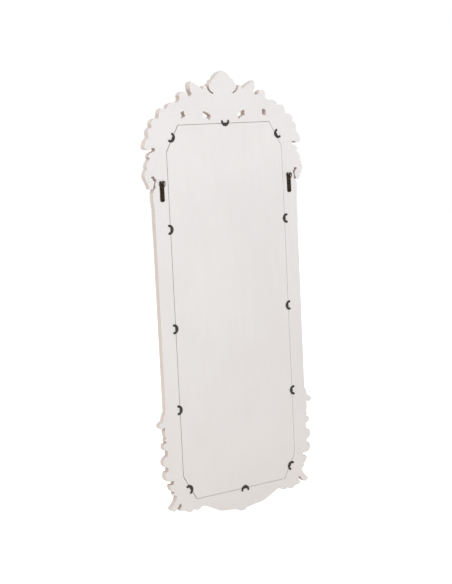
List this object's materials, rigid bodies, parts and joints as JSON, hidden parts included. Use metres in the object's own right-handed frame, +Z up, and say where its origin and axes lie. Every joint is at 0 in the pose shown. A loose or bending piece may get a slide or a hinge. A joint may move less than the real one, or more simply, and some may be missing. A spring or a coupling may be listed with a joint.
{
  "type": "wall mirror",
  "caption": "Tall eight-sided wall mirror in a flat painted frame with a pierced leafy crest, side wings and a scalloped apron, hung by two strap hangers with rings.",
  "frame": {"origin": "on the flat back of the frame boards, midway between the pivots of the two hanging rings", "axes": "+Z up, +Y out of the back towards the wall, -Y out of the glass towards the viewer, +X to the right of a person who faces the glass"},
  "size_m": [0.7752, 0.047, 1.798],
  "materials": {
    "painted_board": "off-white satin paint on wood",
    "painted_panel": "off-white satin paint on board",
    "carved_relief": "off-white paint, slightly rubbed",
    "moulding_paint": "off-white paint, rubbed on the edges",
    "mirror_glass": "silvered glass",
    "packing": "brown packing board",
    "dowel_wood": "plain beech",
    "dark_steel": "blackened steel",
    "bronzed_steel": "dark bronzed steel",
    "screw_bronze": "dark bronzed steel",
    "ring_brass": "worn bronzed wire"
  },
  "bodies": {
    "frame": {"apron_shell": "carved_relief", "backing_board": "painted_panel", "base_board": "painted_board", "clip_bottom": "dark_steel", "clip_corner_bottom_left": "dark_steel", "clip_corner_bottom_right": "dark_steel", "clip_corner_top_left": "dark_steel", "clip_corner_top_right": "dark_steel", "clip_left_lower": "dark_steel", "clip_left_middle": "dark_steel", "clip_left_upper": "dark_steel", "clip_right_lower": "dark_steel", "clip_right_middle": "dark_steel", "clip_right_upper": "dark_steel", "clip_screws": "dark_steel", "clip_top": "dark_steel", "crest_board": "painted_board", "crest_shell": "carved_relief", "joint_dowels": "dowel_wood", "left_apron_leaf": "carved_relief", "left_crest_leaf": "carved_relief", "left_crest_scroll": "carved_relief", "left_foot_leaf": "carved_relief", "left_rail_moulding": "moulding_paint", "left_shoulder_leaf": "carved_relief", "left_side_leaf": "carved_relief", "left_stile": "painted_board", "left_strap": "bronzed_steel", "left_strap_screws": "screw_bronze", "left_wing": "painted_board", "left_wing_leaf": "carved_relief", "mirror_glass": "mirror_glass", "packing_sheet": "packing", "right_apron_leaf": "carved_relief", "right_crest_leaf": "carved_relief", "right_crest_scroll": "carved_relief", "right_foot_leaf": "carved_relief", "right_rail_moulding": "moulding_paint", "right_shoulder_leaf": "carved_relief", "right_side_leaf": "carved_relief", "right_stile": "painted_board", "right_strap": "bronzed_steel", "right_strap_screws": "screw_bronze", "right_wing": "painted_board", "right_wing_leaf": "carved_relief", "sight_moulding_bottom": "moulding_paint", "sight_moulding_corner_bottom_left": "moulding_paint", "sight_moulding_corner_bottom_right": "moulding_paint", "sight_moulding_corner_top_left": "moulding_paint", "sight_moulding_corner_top_right": "moulding_paint", "sight_moulding_left": "moulding_paint", "sight_moulding_right": "moulding_paint", "sight_moulding_top": "moulding_paint"},
    "left_hanging_ring": {"left_ring": "ring_brass"},
    "right_hanging_ring": {"right_ring": "ring_brass"}
  },
  "joints": [
    {"name": "left_ring_hinge", "type": "hinge", "parent": "frame", "child": "left_hanging_ring", "pos_m": [-0.31298, 0.003, 0], "axis": [1, 0, 0], "range_deg": [0, 180]},
    {"name": "right_ring_hinge", "type": "hinge", "parent": "frame", "child": "right_hanging_ring", "pos_m": [0.31298, 0.003, 0], "axis": [1, 0, 0], "range_deg": [0, 180]}
  ]
}
